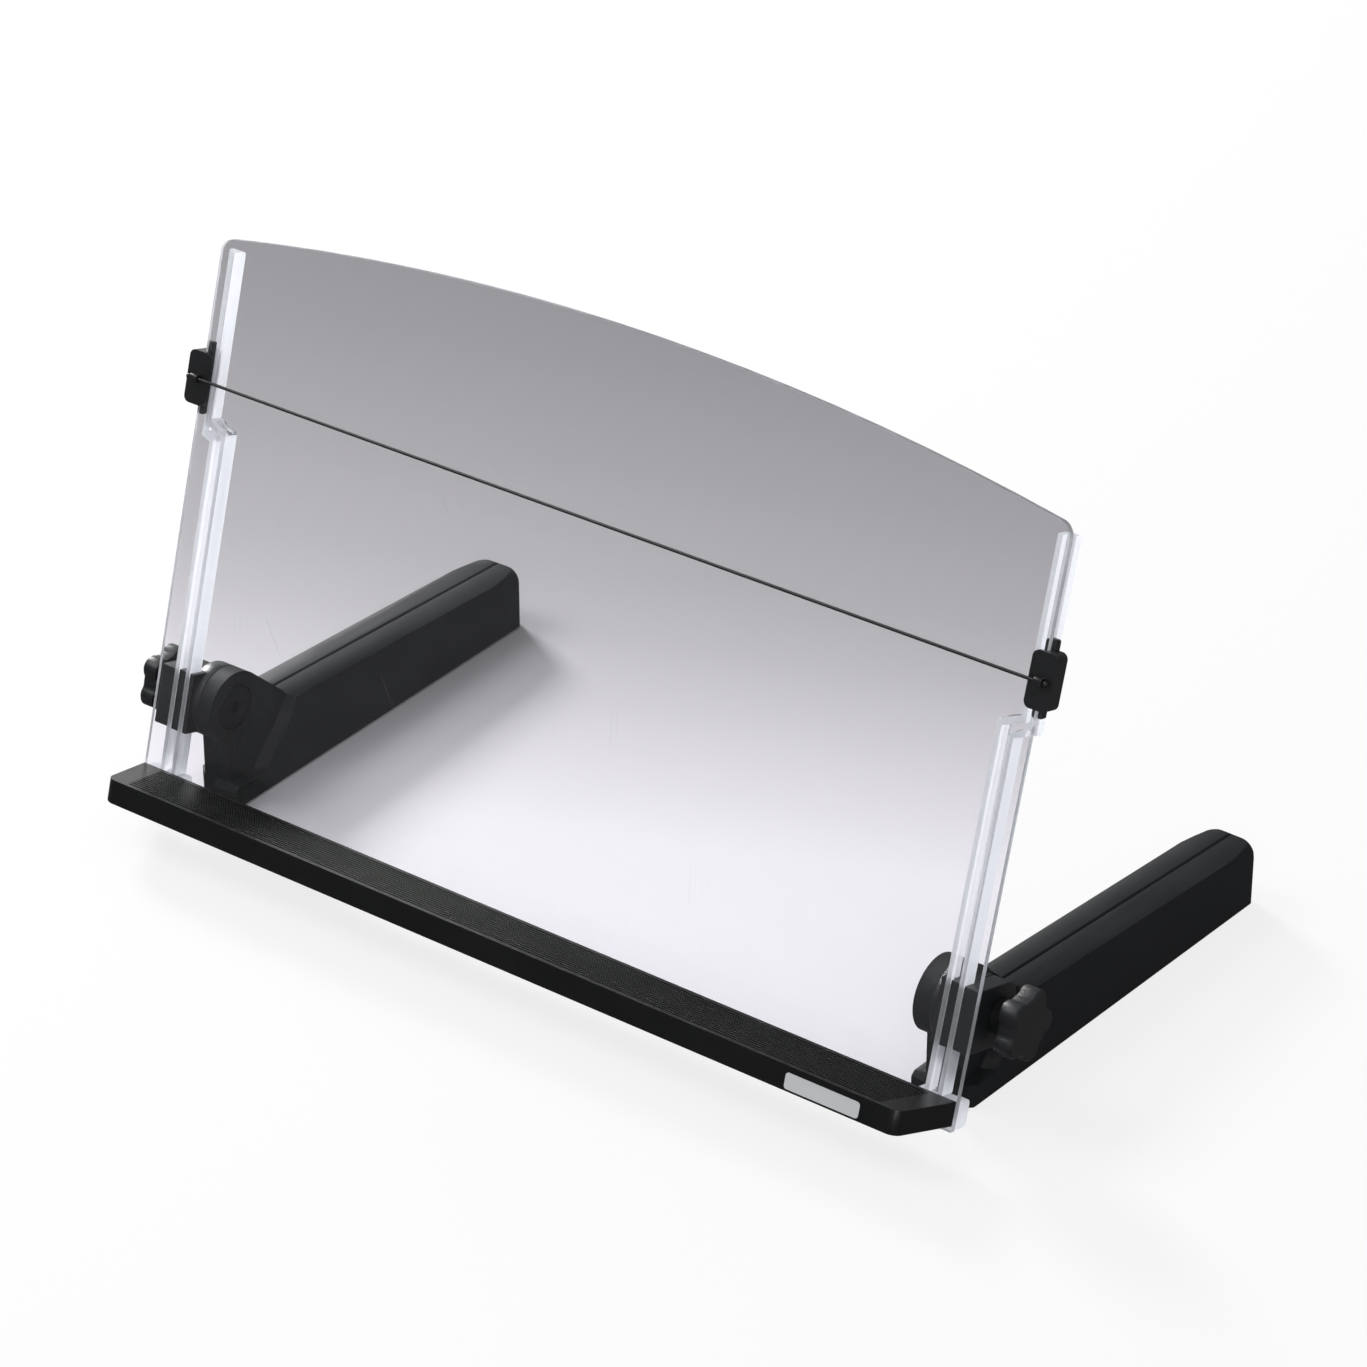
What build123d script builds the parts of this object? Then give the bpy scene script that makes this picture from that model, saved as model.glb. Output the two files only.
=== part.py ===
# Desk copy holder with a sliding line guide. All sizes are in millimetres.
# X runs along the panel, Y runs from the reader to the rear, Z is up, and the
# desk is at Z = 0. The right side is modelled and the left side mirrors it.
from build123d import *
from math import acos, atan2, cos, hypot, radians, sin, tan
import os

os.makedirs("parts", exist_ok=True)

# Clear panel: distances along it are measured up from the top of the ledge
PANEL_W = 457.0
PANEL_T = 3.0
PANEL_SIDE_H = 250.0
PANEL_ARC_RISE = 20.0
PANEL_TOP_R = 7.0
PANEL_TAIL = 14.0
PANEL_FOOT_R = 5.0
LEAN = 16.2
LEDGE_TOP_Z = 23.3

# Ledge that carries the papers
LEDGE_D = 33.3
LEDGE_T = 11.5
LEDGE_END_TAPER = 6.9
LEDGE_CORNER_R = 6.0
LEDGE_EDGE_R = 1.0
RIB_GROOVES = 13
RIB_PITCH = 2.2
RIB_GROOVE_W = 1.1
RIB_GROOVE_DEPTH = 0.6
RIB_END_MARGIN = 11.5
LABEL_W = 38.0
LABEL_H = 7.4
LABEL_R = 1.6
LABEL_T = 0.4
LABEL_PROUD = 0.1
LABEL_FROM_END = 44.5
LABEL_DROP = 6.5

# Countersunk screws that hold the ledge to the panel
LEDGE_SCREW_COUNT = 4
LEDGE_SCREW_PITCH = 120.0
LEDGE_SCREW_DROP = 6.0
LEDGE_SCREW_D = 4.0
LEDGE_SCREW_HEAD_D = 7.6
LEDGE_SCREW_L = 14.0
LEDGE_SCREW_AF = 2.5
LEDGE_SCREW_SOCKET_D = 1.6
SCREW_HOLE_PLAY = 0.1
SINK_ANGLE = 82.0

# Clear guide rails on the back of the panel
RAIL_D = 8.0
TRACK_INSET = 12.8
TRACK_SLOT = 4.4
TRACK_WALL_T = 2.2
TRACK_MOUTH = 3.0
TRACK_LIP_D = 1.6
JOG_START = 155.0
JOG_SLOPE = 0.39
JOG_INNER_S = 161.4
JOG_INNER_H = 3.4
JOG_INNER_R = 2.4
JOG_OUTER_S = 155.3
JOG_OUTER_H = 2.5
JOG_OUTER_R = 1.2
JOG_OUTER_INSET = 3.3
TOP_RAIL_LAP = 2.0
TOP_RAIL_END = 245.0
TOP_RAIL_INSET = 4.3
TOP_RAIL_T = 2.4
TOP_RAIL_FLANGE = 3.6
TOP_RAIL_FLANGE_D = 4.6
TOP_RAIL_FLANGE_S = 159.5
TOP_RAIL_R = 2.0
RAIL_FOOT_REACH = 7.7
RAIL_FOOT_INSET = 0.5
RAIL_FOOT_D = 9.0
RAIL_FOOT_TOP = -1.0
RAIL_FOOT_R = 3.0

# Line guide: two clips round the side edges and a thin rod between them
GUIDE_S = 185.0
GUIDE_PLATE_IN = 5.0
GUIDE_PLATE_W = 12.0
GUIDE_PLATE_H = 24.8
GUIDE_PLATE_T = 2.0
GUIDE_PLATE_R = 3.0
GUIDE_JAW_H = 34.0
GUIDE_JAW_W = 4.9
GUIDE_JAW_T = 2.5
GUIDE_JAW_R = 1.2
GUIDE_GAP = 0.3
GUIDE_BACK_GAP = 0.2
GUIDE_RAIL_GAP = 1.8
GUIDE_ROD_D = 1.5
GUIDE_ROD_BALL_D = 2.8
GUIDE_EYE_W = 4.0
GUIDE_EYE_H = 3.6
GUIDE_EYE_T = 3.0
GUIDE_EYE_R = 1.2

# Pivot joint: its axis lies behind the panel
PIVOT_S = 34.2
PIVOT_DEPTH = 21.9
DISC_R = 17.5
DISC_T = 7.8
SEAM_TO_TRACK = 10.5
STUD_D = 6.0
STUD_HEAD_D = 21.0
STUD_HEAD_T = 2.1
STUD_SOCKET_AF = 6.0
STUD_SOCKET_D = 1.7
STUD_HEAD_BEVEL = 0.4
RUN_PLAY = 0.06
SEAT_PLAY = 0.05
FACE_GAP = 0.2
WASHER_R = 12.5
WASHER_T = 1.1
WASHER_PROUD = 0.15

# Slider block in the rail's slot, and the clamp jaw beside it
SLIDER_H = 28.8
SLIDER_BLOCK_T = 6.0
SLIDER_REAR_D = 33.0
SLIDER_REAR_R = 9.0
SLIDER_CHEEK_T = 2.3
SLIDER_CHEEK_L = 7.0
KEY_GAP = 0.2
KEY_BACK_GAP = 0.4
RAIL_REAR_GAP = 0.3
JAW_T = 9.1
THRUST_WASHER_R = 7.6
THRUST_WASHER_T = 1.0

# Star knob with a threaded insert
KNOB_GAP = 0.1
KNOB_HUB_R = 8.2
KNOB_HUB_L = 6.6
KNOB_T = 8.5
KNOB_LOBES = 5
KNOB_LOBE_R = 5.6
KNOB_TIP_R = 16.6
KNOB_VALLEY_R = 13.1
KNOB_VALLEY_FILLET = 3.5
KNOB_FIRST_LOBE = 58.0
KNOB_RIM_BEVEL = 1.2
KNOB_BORE_FLOOR = 3.0
INSERT_R = 4.5
STUD_TIP_GAP = 0.5

# Arms: two half shells on each side, splayed outward toward the rear
ARM_SPLAY = 1.86
ARM_FLOOR_Z = 0.5
ARM_LENGTH = 213.4
ARM_FRONT = 9.1
ARM_HALF_W = 13.6
ARM_REAR_NARROWING = 0.3
ARM_SIDE_H = 40.5
ARM_RIDGE_H = 42.2
ARM_REAR_SIDE_H = 31.0
ARM_REAR_RIDGE_H = 32.3
ARM_SEAM_V = 0.9
ARM_EDGE = 0.8
ARM_WALL = 2.5
ARM_REAR_TOP_R = 8.0
ARM_REAR_FOOT_R = 4.5
ARM_REAR_PLAN_R = 5.0
ARM_OUTLINE_PLAY = 0.02
ARM_END_WALL = 6.5
ARM_CAVITY_START = 48.0
NECK_INNER = 8.2
NECK_OUTER = 7.5
NECK_FRONT = 6.1
NECK_TOP_Z = 42.4
NECK_ROOF_L = 34.5
SHELF_LIP_Z = 9.5
SHELF_TOP_Z = 12.3
SHELF_RIM_DROP = 0.8
SHELF_CORNER_W = 5.6
SHELF_CORNER_L = 5.5
SADDLE_GAP = 0.8
HEAD_RECESS_GAP = 0.8
HEAD_SINK = 0.4
DIMPLE_R = 0.8
DIMPLE_DEPTH = 0.5
DIMPLE_DROP = 19.5

# Sloped border of the arm's side recess as (distance behind the pivot, height)
# points: the rim lies on the arm's side wall and the foot on the neck's face
RIM_FRONT_L = 15.4
RIM_CURVE = ((17.6, 16.5), (29.4, 27.5), (36.4, 39.0), (42.6, 50.0))
FOOT_FRONT_L = 9.9
FOOT_CURVE = ((12.0, 15.0), (24.8, 27.0), (34.0, 39.3), (41.5, 50.0))

# Dowels that join the arm halves, and the pads under the arms
DOWEL_FRONT_L = 62.0
DOWEL_REAR_INSET = 13.4
DOWEL_Z = 15.0
DOWEL_D = 4.0
DOWEL_L = 16.0
DOWEL_BOSS_R = 4.5
DOWEL_END_PLAY = 0.5
PAD_W = 16.0
PAD_L = 28.0
PAD_R = 3.0
PAD_T = 1.6
PAD_FRONT_L = 12.0
PAD_REAR_INSET = 23.4

# Directions of the leaning panel and of the splayed right arm
UP_PANEL = Vector(0, sin(radians(LEAN)), cos(radians(LEAN)))
INTO_DEPTH = Vector(0, cos(radians(LEAN)), -sin(radians(LEAN)))
ALONG_ARM = Vector(sin(radians(ARM_SPLAY)), cos(radians(ARM_SPLAY)), 0)
ACROSS_ARM = Vector(cos(radians(ARM_SPLAY)), -sin(radians(ARM_SPLAY)), 0)



def height_at(front_height, rear_height, length):
    """Size of the arm's straight shell at a distance behind the pivot."""
    share = (length - NECK_ROOF_L) / (ARM_LENGTH - NECK_ROOF_L)
    return front_height + (rear_height - front_height) * share


# The model is centred in Y between the ledge's front edge and the arms' ends
PIVOT_FROM_BASE = UP_PANEL * PIVOT_S + INTO_DEPTH * PIVOT_DEPTH
EDGE_CENTRE = UP_PANEL * (LEDGE_EDGE_R - LEDGE_T) - INTO_DEPTH * (LEDGE_D - LEDGE_EDGE_R)
FRONT_REACH = EDGE_CENTRE.Y - LEDGE_EDGE_R
REAR_HALF_W = ARM_HALF_W - ARM_REAR_NARROWING
CORNER_L = ARM_LENGTH - ARM_REAR_PLAN_R
CORNER_HALF_W = height_at(ARM_HALF_W, REAR_HALF_W, CORNER_L)
CORNER_CENTRE = ALONG_ARM * CORNER_L - ACROSS_ARM * (CORNER_HALF_W - ARM_REAR_PLAN_R)
REAR_REACH = PIVOT_FROM_BASE.Y + CORNER_CENTRE.Y + ARM_REAR_PLAN_R
BASE = Vector(0, -(FRONT_REACH + REAR_REACH) / 2, LEDGE_TOP_Z)
PIVOT = BASE + PIVOT_FROM_BASE

# Working planes: panel face (x, s), rail section (x, depth), side (depth, s)
PANEL_BACK = Plane(origin=BASE + INTO_DEPTH * PANEL_T, x_dir=(1, 0, 0), z_dir=-INTO_DEPTH)
PANEL_SECTION = Plane(origin=BASE, x_dir=(1, 0, 0), z_dir=UP_PANEL)
PANEL_SIDE = Plane(origin=BASE, x_dir=INTO_DEPTH, z_dir=(1, 0, 0))
SCREW_ENTRY = Plane(origin=BASE + INTO_DEPTH * PANEL_T, x_dir=(1, 0, 0), z_dir=INTO_DEPTH)
LEDGE_REAR = Plane(origin=BASE, x_dir=(1, 0, 0), z_dir=INTO_DEPTH)
LEDGE_FACE = Plane(origin=BASE - INTO_DEPTH * LEDGE_D, x_dir=(1, 0, 0), z_dir=-INTO_DEPTH)
UP_AXIS = Axis(BASE, UP_PANEL)
DEPTH_AXIS = Axis(BASE, INTO_DEPTH)
PIVOT_SIDE = Plane(origin=(0, PIVOT.Y, PIVOT.Z), x_dir=(0, 1, 0), z_dir=(1, 0, 0))

# Widths measured from the middle of the part
HALF_W = PANEL_W / 2
LABEL_X = HALF_W - LABEL_FROM_END
TRACK_X = HALF_W - TRACK_INSET
RAIL_FOOT_IN = TRACK_X - RAIL_FOOT_REACH
RAIL_FOOT_OUT = HALF_W - RAIL_FOOT_INSET
SEAM_X = TRACK_X - SEAM_TO_TRACK
WALL_IN = TRACK_SLOT / 2
WALL_OUT = WALL_IN + TRACK_WALL_T
LIP_IN = TRACK_MOUTH / 2
RAIL_END_D = PANEL_T + RAIL_D
LIP_START_D = RAIL_END_D - TRACK_LIP_D
BLOCK_FRONT_D = RAIL_END_D + RAIL_REAR_GAP
KEY_FRONT_D = PANEL_T + KEY_BACK_GAP
KEY_SHOULDER_D = LIP_START_D - KEY_GAP
DISC_OUT_X = SEAM_X + DISC_T
BLOCK_OUT_X = DISC_OUT_X + SLIDER_BLOCK_T
JAW_IN_X = BLOCK_OUT_X + FACE_GAP
JAW_OUT_X = JAW_IN_X + JAW_T
HUB_IN_X = JAW_OUT_X + THRUST_WASHER_T + KNOB_GAP
KNOB_IN_X = HUB_IN_X + KNOB_HUB_L
KNOB_OUT_X = KNOB_IN_X + KNOB_T
TONGUE_OUT_X = SEAM_X - FACE_GAP
TONGUE_IN_X = SEAM_X - NECK_INNER
STUD_HEAD_X = TONGUE_IN_X + HEAD_SINK
STUD_NECK_X = STUD_HEAD_X + STUD_HEAD_T
INSERT_END_X = KNOB_OUT_X - KNOB_BORE_FLOOR
RUN_R = STUD_D / 2 + RUN_PLAY
SEAT_R = STUD_D / 2 + SEAT_PLAY
SADDLE_R = DISC_R + SADDLE_GAP

# Places along the arm, measured back from the pivot
DOWEL_REAR_L = ARM_LENGTH - DOWEL_REAR_INSET
DOWEL_AT = (DOWEL_FRONT_L, (DOWEL_FRONT_L + DOWEL_REAR_L) / 2, DOWEL_REAR_L)
PAD_REAR_L = ARM_LENGTH - PAD_REAR_INSET

ARM_SIDE = Plane(origin=(SEAM_X, PIVOT.Y, 0), x_dir=ALONG_ARM, z_dir=ACROSS_ARM)
ARM_AXIS = Axis((SEAM_X, PIVOT.Y, 0), ALONG_ARM)
ACROSS_AXIS = Axis((SEAM_X, PIVOT.Y, 0), ACROSS_ARM)
ARM_PLAN = Plane(origin=(SEAM_X, PIVOT.Y, 0), x_dir=ACROSS_ARM, z_dir=(0, 0, 1))


def arm_section(length):
    """Upright plane across the right arm at a distance behind the pivot."""
    origin = Vector(SEAM_X, PIVOT.Y, 0) + ALONG_ARM * length
    return Plane(origin=origin, x_dir=ACROSS_ARM, z_dir=-ALONG_ARM)


def shell_outline(side, half_width, side_height, ridge_height):
    """Outer half section of an arm: side is -1 for the inner half, 1 for the outer."""
    return (
        (0, ARM_FLOOR_Z),
        (side * (half_width - ARM_EDGE), ARM_FLOOR_Z),
        (side * half_width, ARM_FLOOR_Z + ARM_EDGE),
        (side * half_width, side_height),
        (side * ARM_SEAM_V, ridge_height),
        (0, ridge_height - ARM_SEAM_V),
    )


def cavity_outline(side, half_width, side_height, ridge_height):
    """Hollow of an arm half, open at the seam."""
    return (
        (0, ARM_FLOOR_Z + ARM_WALL),
        (side * (half_width - ARM_WALL), ARM_FLOOR_Z + ARM_WALL),
        (side * (half_width - ARM_WALL), side_height - ARM_WALL),
        (0, ridge_height - ARM_WALL - ARM_SEAM_V),
    )


def jog_height(start, across):
    """Height of a jog edge, from its height at the track's middle."""
    return start + JOG_SLOPE * (across - TRACK_X)


def rim_points(rise):
    """Rim of the side recess, from a height at its front end upward."""
    return ((RIM_FRONT_L, rise), *RIM_CURVE)


def foot_points(rise):
    """Foot of the recess's border, from a height at its front end upward."""
    return ((FOOT_FRONT_L, rise), *FOOT_CURVE)


# Clear panel
with BuildPart() as document_panel:
    with BuildSketch(PANEL_BACK):
        with BuildLine():
            Polyline(
                (-HALF_W, PANEL_SIDE_H),
                (-HALF_W, -PANEL_TAIL),
                (HALF_W, -PANEL_TAIL),
                (HALF_W, PANEL_SIDE_H),
            )
            ThreePointArc(
                (HALF_W, PANEL_SIDE_H),
                (0, PANEL_SIDE_H + PANEL_ARC_RISE),
                (-HALF_W, PANEL_SIDE_H),
            )
        panel_face = make_face()
        fillet(panel_face.vertices().group_by(Axis.Y)[-1], radius=PANEL_TOP_R)
        fillet(panel_face.vertices().group_by(Axis.Y)[0], radius=PANEL_FOOT_R)
    extrude(amount=PANEL_T)
    with Locations(SCREW_ENTRY):
        with Locations((0, LEDGE_SCREW_DROP)):
            with GridLocations(LEDGE_SCREW_PITCH, 1, LEDGE_SCREW_COUNT, 1):
                CounterSinkHole(
                    radius=(LEDGE_SCREW_D + SCREW_HOLE_PLAY) / 2,
                    counter_sink_radius=(LEDGE_SCREW_HEAD_D + SCREW_HOLE_PLAY) / 2,
                    depth=PANEL_T,
                    counter_sink_angle=SINK_ANGLE,
                )
document_panel.part.label = "document_panel"
export_step(document_panel.part, "parts/document_panel.step")

# Black ledge with fine grooves along its top
with BuildPart() as ledge:
    with BuildSketch(PANEL_SECTION):
        with BuildLine():
            Polyline(
                (-HALF_W, 0),
                (HALF_W, 0),
                (HALF_W - LEDGE_END_TAPER, -LEDGE_D),
                (LEDGE_END_TAPER - HALF_W, -LEDGE_D),
                close=True,
            )
        ledge_plan = make_face()
        fillet(ledge_plan.vertices().group_by(Axis.Y)[0], radius=LEDGE_CORNER_R)
    extrude(amount=-LEDGE_T)
    lower_edges = ledge.faces().sort_by(UP_AXIS)[0].edges()
    fillet(lower_edges.sort_by(DEPTH_AXIS)[:-1], radius=LEDGE_EDGE_R)
    with BuildSketch(PANEL_SECTION):
        for groove in range(RIB_GROOVES):
            groove_at = LEDGE_D / 2 + (groove - (RIB_GROOVES - 1) / 2) * RIB_PITCH
            taper_there = LEDGE_END_TAPER * groove_at / LEDGE_D
            with Locations((0, -groove_at)):
                Rectangle(PANEL_W - 2 * (RIB_END_MARGIN + taper_there), RIB_GROOVE_W)
    extrude(amount=-RIB_GROOVE_DEPTH, mode=Mode.SUBTRACT)
    with BuildSketch(LEDGE_FACE):
        with Locations((LABEL_X, -LABEL_DROP)):
            RectangleRounded(LABEL_W, LABEL_H, LABEL_R)
    extrude(amount=LABEL_PROUD - LABEL_T, mode=Mode.SUBTRACT)
    with Locations(LEDGE_REAR):
        with Locations((0, LEDGE_SCREW_DROP)):
            with GridLocations(LEDGE_SCREW_PITCH, 1, LEDGE_SCREW_COUNT, 1):
                Hole(radius=LEDGE_SCREW_D / 2, depth=LEDGE_SCREW_L - PANEL_T)
ledge.part.label = "ledge"
export_step(ledge.part, "parts/ledge.step")

# Blank label in a shallow seat on the ledge's front
with BuildPart() as ledge_label:
    with BuildSketch(LEDGE_FACE.offset(LABEL_PROUD - LABEL_T)):
        with Locations((LABEL_X, -LABEL_DROP)):
            RectangleRounded(LABEL_W, LABEL_H, LABEL_R)
    extrude(amount=LABEL_T)
ledge_label.part.label = "ledge_label"
export_step(ledge_label.part, "parts/ledge_label.step")

# Screws driven from the back of the panel into the ledge
SCREW_HEAD_L = (LEDGE_SCREW_HEAD_D - LEDGE_SCREW_D) / 2 / tan(radians(SINK_ANGLE / 2))
with BuildPart() as ledge_screws:
    with BuildSketch(SCREW_ENTRY.offset(-LEDGE_SCREW_L)):
        with Locations((0, LEDGE_SCREW_DROP)):
            with GridLocations(LEDGE_SCREW_PITCH, 1, LEDGE_SCREW_COUNT, 1):
                Circle(LEDGE_SCREW_D / 2)
    extrude(amount=LEDGE_SCREW_L - SCREW_HEAD_L / 2)
    with Locations(SCREW_ENTRY.offset(-SCREW_HEAD_L)):
        with Locations((0, LEDGE_SCREW_DROP)):
            with GridLocations(LEDGE_SCREW_PITCH, 1, LEDGE_SCREW_COUNT, 1):
                Cone(
                    bottom_radius=LEDGE_SCREW_D / 2,
                    top_radius=LEDGE_SCREW_HEAD_D / 2,
                    height=SCREW_HEAD_L,
                    align=(Align.CENTER, Align.CENTER, Align.MIN),
                )
    with BuildSketch(SCREW_ENTRY):
        with Locations((0, LEDGE_SCREW_DROP)):
            with GridLocations(LEDGE_SCREW_PITCH, 1, LEDGE_SCREW_COUNT, 1):
                RegularPolygon(LEDGE_SCREW_AF / 2, side_count=6, major_radius=False)
    extrude(amount=-LEDGE_SCREW_SOCKET_D, mode=Mode.SUBTRACT)
ledge_screws.part.label = "ledge_screws"
export_step(ledge_screws.part, "parts/ledge_screws.step")

# Right guide rail: two walls with a T-shaped slot between them, a jog, an upper
# rail with a flange, and a foot
TRACK_IN_X = TRACK_X - WALL_OUT
TRACK_OUT_X = TRACK_X + WALL_OUT
SLOT_IN_X = TRACK_X - WALL_IN
SLOT_OUT_X = TRACK_X + WALL_IN
JOG_OUT_X = HALF_W - JOG_OUTER_INSET
TOP_RAIL_OUT_X = HALF_W - TOP_RAIL_INSET
TOP_RAIL_IN_X = TOP_RAIL_OUT_X - TOP_RAIL_T
FLANGE_OUT_X = TOP_RAIL_OUT_X + TOP_RAIL_FLANGE
JOG_END = jog_height(JOG_INNER_S, TOP_RAIL_IN_X) + JOG_INNER_H
with BuildPart() as rail_right:
    with BuildSketch(PANEL_SECTION.offset(RAIL_FOOT_TOP)):
        for side in (-1, 1):
            Polygon(
                (TRACK_X + side * WALL_IN, PANEL_T),
                (TRACK_X + side * WALL_OUT, PANEL_T),
                (TRACK_X + side * WALL_OUT, RAIL_END_D),
                (TRACK_X + side * LIP_IN, RAIL_END_D),
                (TRACK_X + side * LIP_IN, LIP_START_D),
                (TRACK_X + side * WALL_IN, LIP_START_D),
                align=None,
            )
    extrude(amount=JOG_START - RAIL_FOOT_TOP)
    with BuildSketch(PANEL_BACK):
        inner_turn = Polygon(
            (TRACK_IN_X, JOG_START),
            (SLOT_IN_X, JOG_START),
            (SLOT_IN_X, jog_height(JOG_INNER_S, SLOT_IN_X)),
            (TOP_RAIL_OUT_X, jog_height(JOG_INNER_S, TOP_RAIL_OUT_X)),
            (TOP_RAIL_OUT_X, JOG_END),
            (TOP_RAIL_IN_X, JOG_END),
            (TRACK_IN_X, jog_height(JOG_INNER_S, TRACK_IN_X) + JOG_INNER_H),
            align=None,
        )
        fillet(inner_turn.vertices().group_by(Axis.X)[0].sort_by(Axis.Y)[-1], radius=JOG_INNER_R)
    extrude(amount=-RAIL_D)
    with BuildSketch(PANEL_BACK):
        outer_turn = Polygon(
            (SLOT_OUT_X, JOG_START),
            (TRACK_OUT_X, JOG_START),
            (TRACK_OUT_X, jog_height(JOG_OUTER_S, TRACK_OUT_X)),
            (JOG_OUT_X, jog_height(JOG_OUTER_S, JOG_OUT_X)),
            (JOG_OUT_X, jog_height(JOG_OUTER_S, JOG_OUT_X) + JOG_OUTER_H),
            (SLOT_OUT_X, jog_height(JOG_OUTER_S, SLOT_OUT_X) + JOG_OUTER_H),
            align=None,
        )
        fillet(outer_turn.vertices().group_by(Axis.X)[0].sort_by(Axis.Y)[-1], radius=JOG_OUTER_R)
    extrude(amount=-RAIL_D)
    with BuildSketch(PANEL_SECTION.offset(JOG_END - TOP_RAIL_LAP)):
        with Locations((TOP_RAIL_IN_X, PANEL_T)):
            Rectangle(TOP_RAIL_T, RAIL_D, align=(Align.MIN, Align.MIN))
    extrude(amount=TOP_RAIL_END - JOG_END + TOP_RAIL_LAP)
    with BuildSketch(PANEL_SECTION.offset(TOP_RAIL_FLANGE_S)):
        with Locations((TOP_RAIL_OUT_X, RAIL_END_D)):
            Rectangle(TOP_RAIL_FLANGE, TOP_RAIL_FLANGE_D, align=(Align.MIN, Align.MAX))
    extrude(amount=TOP_RAIL_END - TOP_RAIL_FLANGE_S)
    top_edges = rail_right.faces().sort_by(UP_AXIS)[-1].edges()
    fillet(top_edges.sort_by(DEPTH_AXIS)[-1], radius=TOP_RAIL_R)
    with BuildSketch(PANEL_SIDE.offset(RAIL_FOOT_IN)):
        with Locations((PANEL_T, RAIL_FOOT_TOP)):
            foot = Rectangle(RAIL_FOOT_D, PANEL_TAIL + RAIL_FOOT_TOP, align=(Align.MIN, Align.MAX))
        fillet(foot.vertices().group_by(Axis.X)[-1], radius=RAIL_FOOT_R)
    extrude(amount=RAIL_FOOT_OUT - RAIL_FOOT_IN)
rail_right.part.label = "rail_right"
export_step(rail_right.part, "parts/rail_right.step")

with BuildPart() as rail_left:
    mirror(rail_right.part, about=Plane.YZ)
rail_left.part.label = "rail_left"
export_step(rail_left.part, "parts/rail_left.step")

# Right clip of the line guide: front plate, web round the edge and rear jaw
PLATE_X = HALF_W - GUIDE_PLATE_IN + GUIDE_PLATE_W / 2
WEB_IN = HALF_W + GUIDE_GAP
JAW_REAR_D = PANEL_T + GUIDE_BACK_GAP + GUIDE_JAW_T
ROD_N = GUIDE_GAP + GUIDE_PLATE_T + GUIDE_EYE_T / 2
GUIDE_JAW_X = TOP_RAIL_OUT_X + GUIDE_RAIL_GAP + GUIDE_JAW_W / 2
with BuildPart() as guide_clip_right:
    with BuildSketch(PANEL_BACK.offset(PANEL_T + GUIDE_GAP)):
        with Locations((PLATE_X, GUIDE_S)):
            RectangleRounded(GUIDE_PLATE_W, GUIDE_PLATE_H, GUIDE_PLATE_R)
    extrude(amount=GUIDE_PLATE_T)
    with BuildSketch(PANEL_BACK.offset(PANEL_T - JAW_REAR_D)):
        with Locations((PLATE_X, GUIDE_S)):
            RectangleRounded(GUIDE_PLATE_W, GUIDE_PLATE_H, GUIDE_PLATE_R)
        with Locations((WEB_IN, GUIDE_S)):
            Rectangle(
                GUIDE_PLATE_W,
                GUIDE_PLATE_H,
                align=(Align.MAX, Align.CENTER),
                mode=Mode.SUBTRACT,
            )
    extrude(amount=JAW_REAR_D + GUIDE_GAP + GUIDE_PLATE_T)
    with BuildSketch(PANEL_BACK.offset(PANEL_T - JAW_REAR_D)):
        with Locations((GUIDE_JAW_X, GUIDE_S)):
            RectangleRounded(GUIDE_JAW_W, GUIDE_JAW_H, GUIDE_JAW_R)
    extrude(amount=GUIDE_JAW_T)
    with BuildSketch(PANEL_SIDE.offset(PLATE_X - GUIDE_EYE_W / 2)):
        with Locations((-GUIDE_GAP - GUIDE_PLATE_T, GUIDE_S)):
            eye = Rectangle(GUIDE_EYE_T, GUIDE_EYE_H, align=(Align.MAX, Align.CENTER))
        fillet(eye.vertices().group_by(Axis.X)[0], radius=GUIDE_EYE_R)
    extrude(amount=GUIDE_EYE_W)
    with BuildSketch(PANEL_SIDE.offset(PLATE_X - GUIDE_EYE_W / 2)):
        with Locations((-ROD_N, GUIDE_S)):
            Circle(GUIDE_ROD_D / 2 + SEAT_PLAY)
    extrude(amount=GUIDE_EYE_W, mode=Mode.SUBTRACT)
guide_clip_right.part.label = "guide_clip_right"
export_step(guide_clip_right.part, "parts/guide_clip_right.step")

with BuildPart() as guide_clip_left:
    mirror(guide_clip_right.part, about=Plane.YZ)
guide_clip_left.part.label = "guide_clip_left"
export_step(guide_clip_left.part, "parts/guide_clip_left.step")

# Thin rod of the line guide, with a ball beyond each eye
ROD_END_X = PLATE_X + GUIDE_EYE_W / 2 + GUIDE_ROD_BALL_D / 2
ROD_CENTRE = BASE + UP_PANEL * GUIDE_S - INTO_DEPTH * ROD_N
ROD_MIDDLE = Plane(origin=ROD_CENTRE, x_dir=INTO_DEPTH, z_dir=(1, 0, 0))
with BuildPart() as guide_rod:
    with BuildSketch(ROD_MIDDLE.offset(-ROD_END_X)):
        Circle(GUIDE_ROD_D / 2)
    extrude(amount=2 * ROD_END_X)
    with Locations(ROD_MIDDLE.offset(-ROD_END_X), ROD_MIDDLE.offset(ROD_END_X)):
        Sphere(GUIDE_ROD_BALL_D / 2)
guide_rod.part.label = "guide_rod"
export_step(guide_rod.part, "parts/guide_rod.step")

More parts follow.
